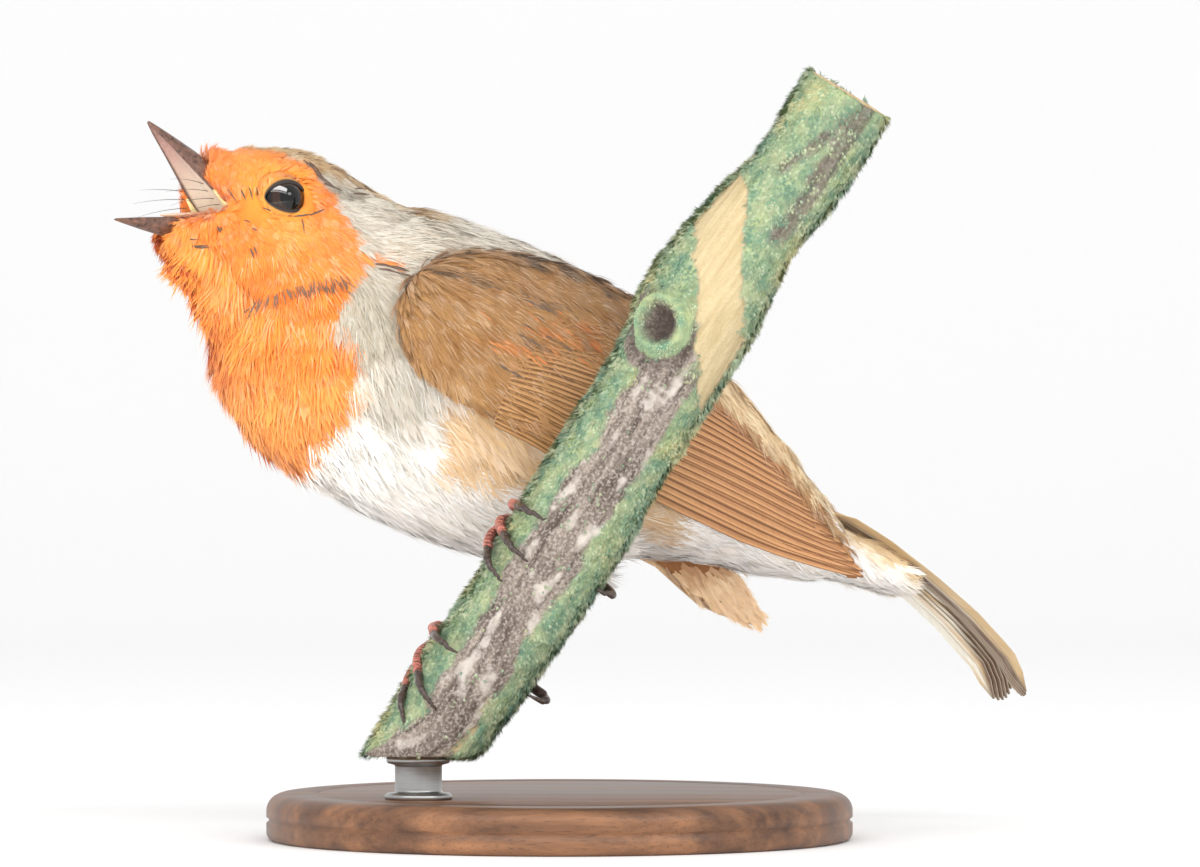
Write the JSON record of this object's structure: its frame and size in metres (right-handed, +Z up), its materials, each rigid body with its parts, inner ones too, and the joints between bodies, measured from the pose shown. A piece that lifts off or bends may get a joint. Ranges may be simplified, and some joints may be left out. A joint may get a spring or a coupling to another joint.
{
  "type": "european robin singing on a cut branch, life-size museum-style model on a stand",
  "caption": "European robin with an orange breast singing with its bill wide open, gripping a steep mossy branch piece on a round display stand",
  "frame": {"origin": "the centre of the stand's flat underside", "axes": "+Z up; the bird's head points toward -X and its tail toward +X; its left side faces -Y, where the branch passes in front of it"},
  "size_m": [0.12, 0.076, 0.0984],
  "materials": {
    "breast_feathers": "soft",
    "back_feathers": "soft",
    "belly_feathers": "soft",
    "flight_feathers": "satin",
    "bill_horn": "satin",
    "gape_skin": "moist",
    "eye_gloss": "polished",
    "leg_scales": "satin",
    "claw_horn": "satin",
    "mossy_bark": "rough",
    "stand_walnut": "satin",
    "rod_steel": "brushed"
  },
  "bodies": {
    "root": {"trunk": "belly_feathers", "neck": "back_feathers", "head": "breast_feathers", "tail": "flight_feathers", "wing_left": "flight_feathers", "wing_right": "flight_feathers", "bill_upper": "bill_horn", "bill_lower": "bill_horn", "mouth": "gape_skin", "tongue": "gape_skin", "eye_left": "eye_gloss", "eye_right": "eye_gloss", "perch": "mossy_bark", "stand_base": "stand_walnut", "stand_rod": "rod_steel", "thigh_left": "belly_feathers", "tarsus_left": "leg_scales", "foot_left": "leg_scales", "claw_left_inner": "claw_horn", "claw_left_middle": "claw_horn", "claw_left_outer": "claw_horn", "claw_left_hallux": "claw_horn", "thigh_right": "belly_feathers", "tarsus_right": "leg_scales", "foot_right": "leg_scales", "claw_right_inner": "claw_horn", "claw_right_middle": "claw_horn", "claw_right_outer": "claw_horn", "claw_right_hallux": "claw_horn"}
  },
  "joints": []
}
